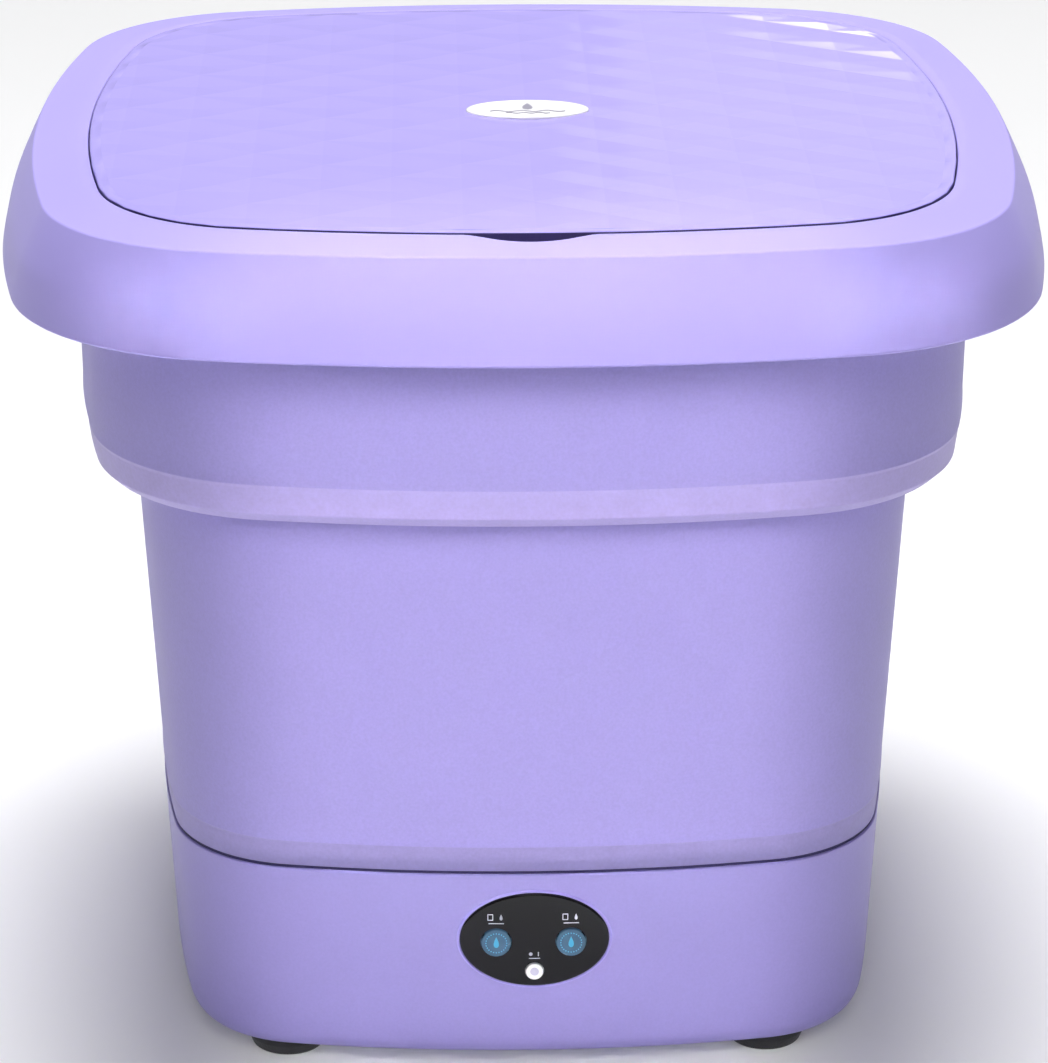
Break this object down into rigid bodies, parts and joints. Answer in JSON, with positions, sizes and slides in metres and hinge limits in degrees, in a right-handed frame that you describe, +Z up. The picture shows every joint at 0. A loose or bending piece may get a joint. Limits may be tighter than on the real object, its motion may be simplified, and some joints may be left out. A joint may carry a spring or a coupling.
{
  "type": "portable mini washer",
  "caption": "Portable folding washer with a rigid base, soft two-tier square tub, wide rim and drop-in lid.",
  "frame": {"origin": "centre of the footprint, on the surface that the feet stand on", "axes": "+Z up, -Y is the front with the control panel, +X to the right seen from the front"},
  "size_m": [0.302, 0.302, 0.2628],
  "materials": {
    "lilac_plastic": "satin moulded, lilac",
    "lilac_rubber": "matt fine-grained, lilac",
    "lid_plastic": "faceted glossy, lilac",
    "white_plastic": "gloss, white",
    "black_gloss": "high gloss, black",
    "blue_button": "gloss, blue",
    "black_rubber": "matt, black",
    "silicone": "matt translucent grey",
    "steel": "plain bright steel",
    "dark_iron": "dark",
    "black_plastic": "matt, black",
    "board_green": "solder mask, green",
    "lamp_clear": "clear lamp",
    "wire_red": "insulation, red"
  },
  "bodies": {
    "base": {"base_housing": "lilac_plastic", "bottom_cover": "lilac_plastic", "cover_screws": "steel", "tub_floor": "lilac_plastic", "drain_grate": "steel", "drain_elbow": "white_plastic", "dc_inlet": "black_plastic", "dc_inlet_nut": "black_plastic", "dc_inlet_pin": "steel", "panel_fascia": "black_gloss", "control_board": "board_green", "board_screws": "steel", "tact_switches": "black_plastic", "indicator_leds": "lamp_clear", "power_leads": "wire_red", "motor_leads": "wire_red", "motor_bracket": "steel", "bracket_screws": "steel", "motor_can": "steel", "motor_end_cap": "black_plastic", "motor_magnets": "dark_iron", "motor_screws": "steel", "drive_belt": "black_rubber", "bearing_lower": "steel", "bearing_upper": "steel", "bearing_spacer": "steel", "shaft_seal": "black_rubber", "tub_lower_ring": "lilac_rubber", "foot_front_left": "black_rubber", "foot_front_right": "black_rubber", "foot_rear_left": "black_rubber", "foot_rear_right": "black_rubber"},
    "wall_middle": {"tub_mid_ring": "lilac_rubber"},
    "rim": {"rim_frame": "lilac_plastic", "rim_clamp_ring": "lilac_plastic", "rim_screws": "steel", "tub_upper_tier": "lilac_rubber"},
    "lid": {"lid_panel": "lid_plastic", "lid_tray": "lid_plastic", "lid_seal": "silicone", "lid_screws": "steel", "lid_badge": "white_plastic"},
    "agitator": {"pulsator": "white_plastic", "pulsator_shaft": "steel", "pulsator_screw": "steel", "pulsator_cap": "white_plastic", "driven_pulley": "black_plastic", "shaft_circlip": "steel"},
    "rotor": {"motor_shaft": "steel", "motor_armature": "dark_iron", "motor_pulley": "black_plastic"},
    "wash_button": {"button_wash": "blue_button"},
    "rinse_button": {"button_rinse": "blue_button"},
    "power_button": {"button_power": "white_plastic"}
  },
  "joints": [
    {"name": "tub_collapse", "type": "slide", "parent": "base", "child": "rim", "axis": [0, 0, -1], "range_m": [0, 0.112]},
    {"name": "wall_fold", "type": "slide", "parent": "base", "child": "wall_middle", "axis": [0, 0, -1], "range_m": [0, 0.056]},
    {"name": "lid_lift", "type": "slide", "parent": "rim", "child": "lid", "axis": [0, 0, 1], "range_m": [0, 0.12]},
    {"name": "pulsator_spin", "type": "hinge", "parent": "base", "child": "agitator", "pos_m": [0, 0, 0.07], "axis": [0, 0, 1], "continuous": true},
    {"name": "motor_spin", "type": "hinge", "parent": "base", "child": "rotor", "pos_m": [0, 0.062, 0.04], "axis": [0, 0, 1], "continuous": true},
    {"name": "wash_press", "type": "slide", "parent": "base", "child": "wash_button", "axis": [0, 1, 0], "range_m": [0, 0.0008], "stiffness_N_per_m": 800},
    {"name": "rinse_press", "type": "slide", "parent": "base", "child": "rinse_button", "axis": [0, 1, 0], "range_m": [0, 0.0008], "stiffness_N_per_m": 800},
    {"name": "power_press", "type": "slide", "parent": "base", "child": "power_button", "axis": [0, 1, 0], "range_m": [0, 0.0008], "stiffness_N_per_m": 800}
  ],
  "couplings": [
    {"joint": "wall_fold", "follows": "tub_collapse", "ratio": 0.5},
    {"joint": "motor_spin", "follows": "pulsator_spin", "ratio": 4}
  ]
}
